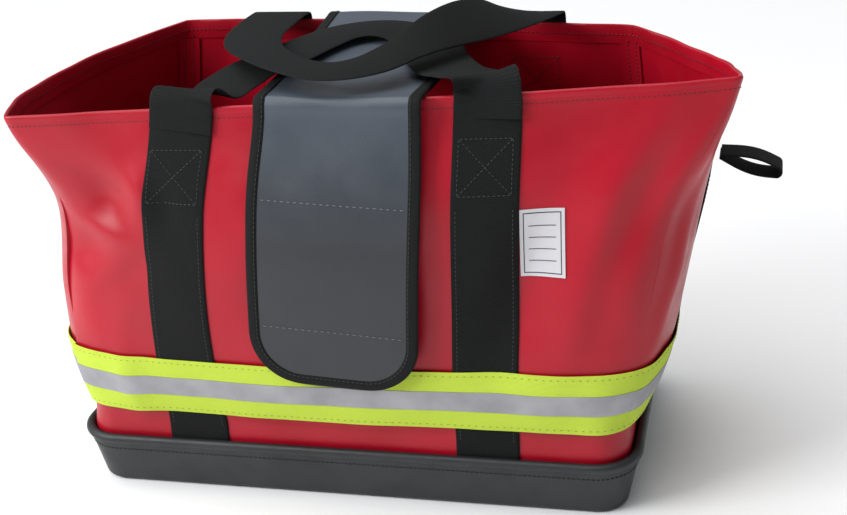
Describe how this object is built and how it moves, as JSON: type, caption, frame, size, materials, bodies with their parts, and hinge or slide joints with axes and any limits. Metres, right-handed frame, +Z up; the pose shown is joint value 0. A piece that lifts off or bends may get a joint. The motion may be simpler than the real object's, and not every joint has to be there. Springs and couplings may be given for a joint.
{
  "type": "equipment tote bag",
  "caption": "Open-top vinyl equipment tote bag with a rigid rubber base tray, webbing carry handles, end grab loops, a closure flap and a hi-visibility trim band.",
  "frame": {"origin": "centre of the base tray's flat underside, on the ground", "axes": "+Z up, +X along the bag's length, front face and closure flap towards -Y"},
  "size_m": [0.6081, 0.2693, 0.3727],
  "materials": {
    "vinyl": "semi-gloss coated vinyl over woven base",
    "rubber": "satin moulded rubber",
    "webbing": "matt woven polypropylene webbing",
    "flap": "textured slate vinyl",
    "binding": "matt woven binding tape",
    "hook_loop": "hook-and-loop tape",
    "trim_lime": "fluorescent woven trim",
    "trim_silver": "glass-bead reflective tape",
    "label": "woven label tape",
    "board": "stiffener board"
  },
  "bodies": {
    "root": {"base_tray": "rubber", "floor_panel": "vinyl", "stiffener_board": "board", "body_wrap": "vinyl", "back_panel": "vinyl", "rim_hem": "vinyl", "seam_left": "vinyl", "seam_right": "vinyl", "front_strap_left": "webbing", "front_strap_right": "webbing", "back_strap_left": "webbing", "back_strap_right": "webbing", "end_strap_left": "webbing", "end_strap_right": "webbing", "flap_bridge": "flap", "flap_bridge_binding": "binding", "loop_patch": "hook_loop", "trim_tape": "trim_lime", "trim_reflector": "trim_silver", "label": "label"},
    "front_handle": {"front_handle": "webbing"},
    "back_handle": {"back_handle": "webbing"},
    "end_loop_left": {"end_loop_left": "webbing"},
    "end_loop_right": {"end_loop_right": "webbing"},
    "flap_front": {"flap_front": "flap", "flap_front_binding": "binding", "hook_patch": "hook_loop"}
  },
  "joints": [
    {"name": "back_handle_swing", "type": "hinge", "parent": "root", "child": "back_handle", "pos_m": [0.018, 0.1022, 0.3401], "axis": [-0.9998, 0.0162, 0.0122], "range_deg": [0, 140]},
    {"name": "front_handle_lift", "type": "hinge", "parent": "root", "child": "front_handle", "pos_m": [0.0085, -0.1039, 0.33], "axis": [0.9975, 0.0613, 0.0345], "range_deg": [0, 80]},
    {"name": "flap_front_fold", "type": "hinge", "parent": "root", "child": "flap_front", "pos_m": [0.007, -0.11314, 0.33244], "axis": [-1, 0, 0], "range_deg": [0, 165]},
    {"name": "end_loop_left_swing", "type": "hinge", "parent": "root", "child": "end_loop_left", "pos_m": [-0.2572, 0, 0.252], "axis": [0, 1, 0], "range_deg": [0, 120]},
    {"name": "end_loop_right_swing", "type": "hinge", "parent": "root", "child": "end_loop_right", "pos_m": [0.2856, 0.006, 0.257], "axis": [0, 1, 0], "range_deg": [-60, 50], "stiffness_Nm_per_rad": 0.05}
  ],
  "couplings": [
    {"joint": "front_handle_lift", "follows": "back_handle_swing", "ratio": 0.5}
  ]
}
